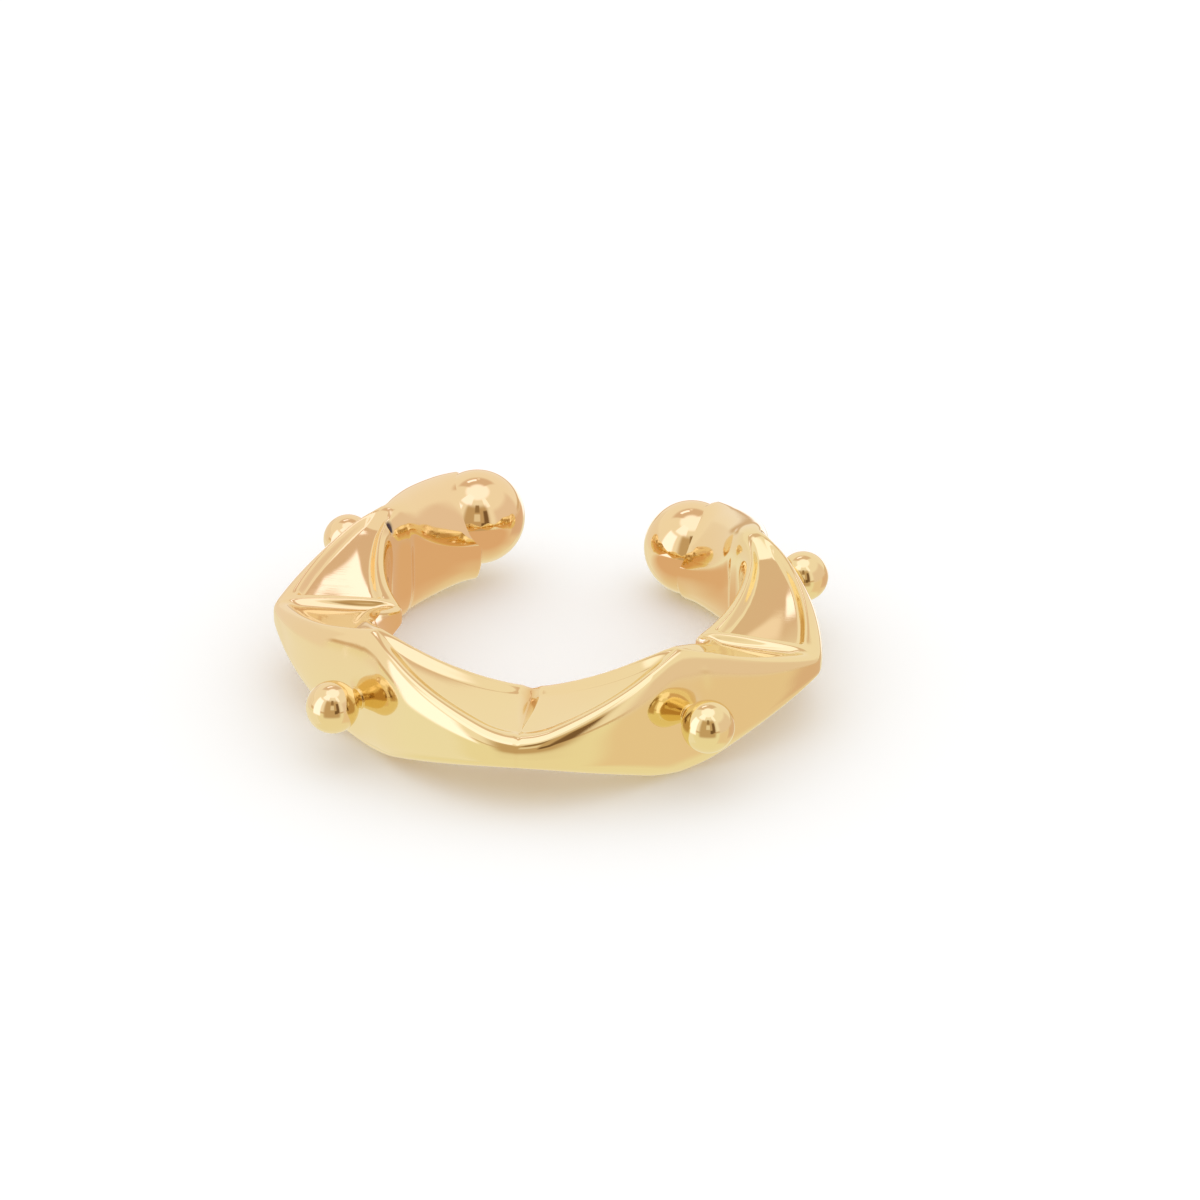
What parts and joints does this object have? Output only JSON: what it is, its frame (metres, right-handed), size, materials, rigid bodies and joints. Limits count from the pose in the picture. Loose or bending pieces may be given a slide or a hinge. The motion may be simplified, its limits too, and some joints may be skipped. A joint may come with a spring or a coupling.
{
  "type": "ear cuff",
  "caption": "Open ear cuff in polished gold-coloured metal: a pinched band with round bead studs and a ball at each end of its gap.",
  "frame": {"origin": "under the middle of the cuff's box, on the plane that it lies on", "axes": "+Z along the ring's axis, upwards as it lies; +Y from the ring's middle to the middle of its gap; +X to the right, seen from the front"},
  "size_m": [0.015, 0.0152, 0.0036],
  "materials": {
    "polished_gold": "mirror-polished gold plate"
  },
  "bodies": {
    "root": {"cuff": "polished_gold"}
  },
  "joints": []
}
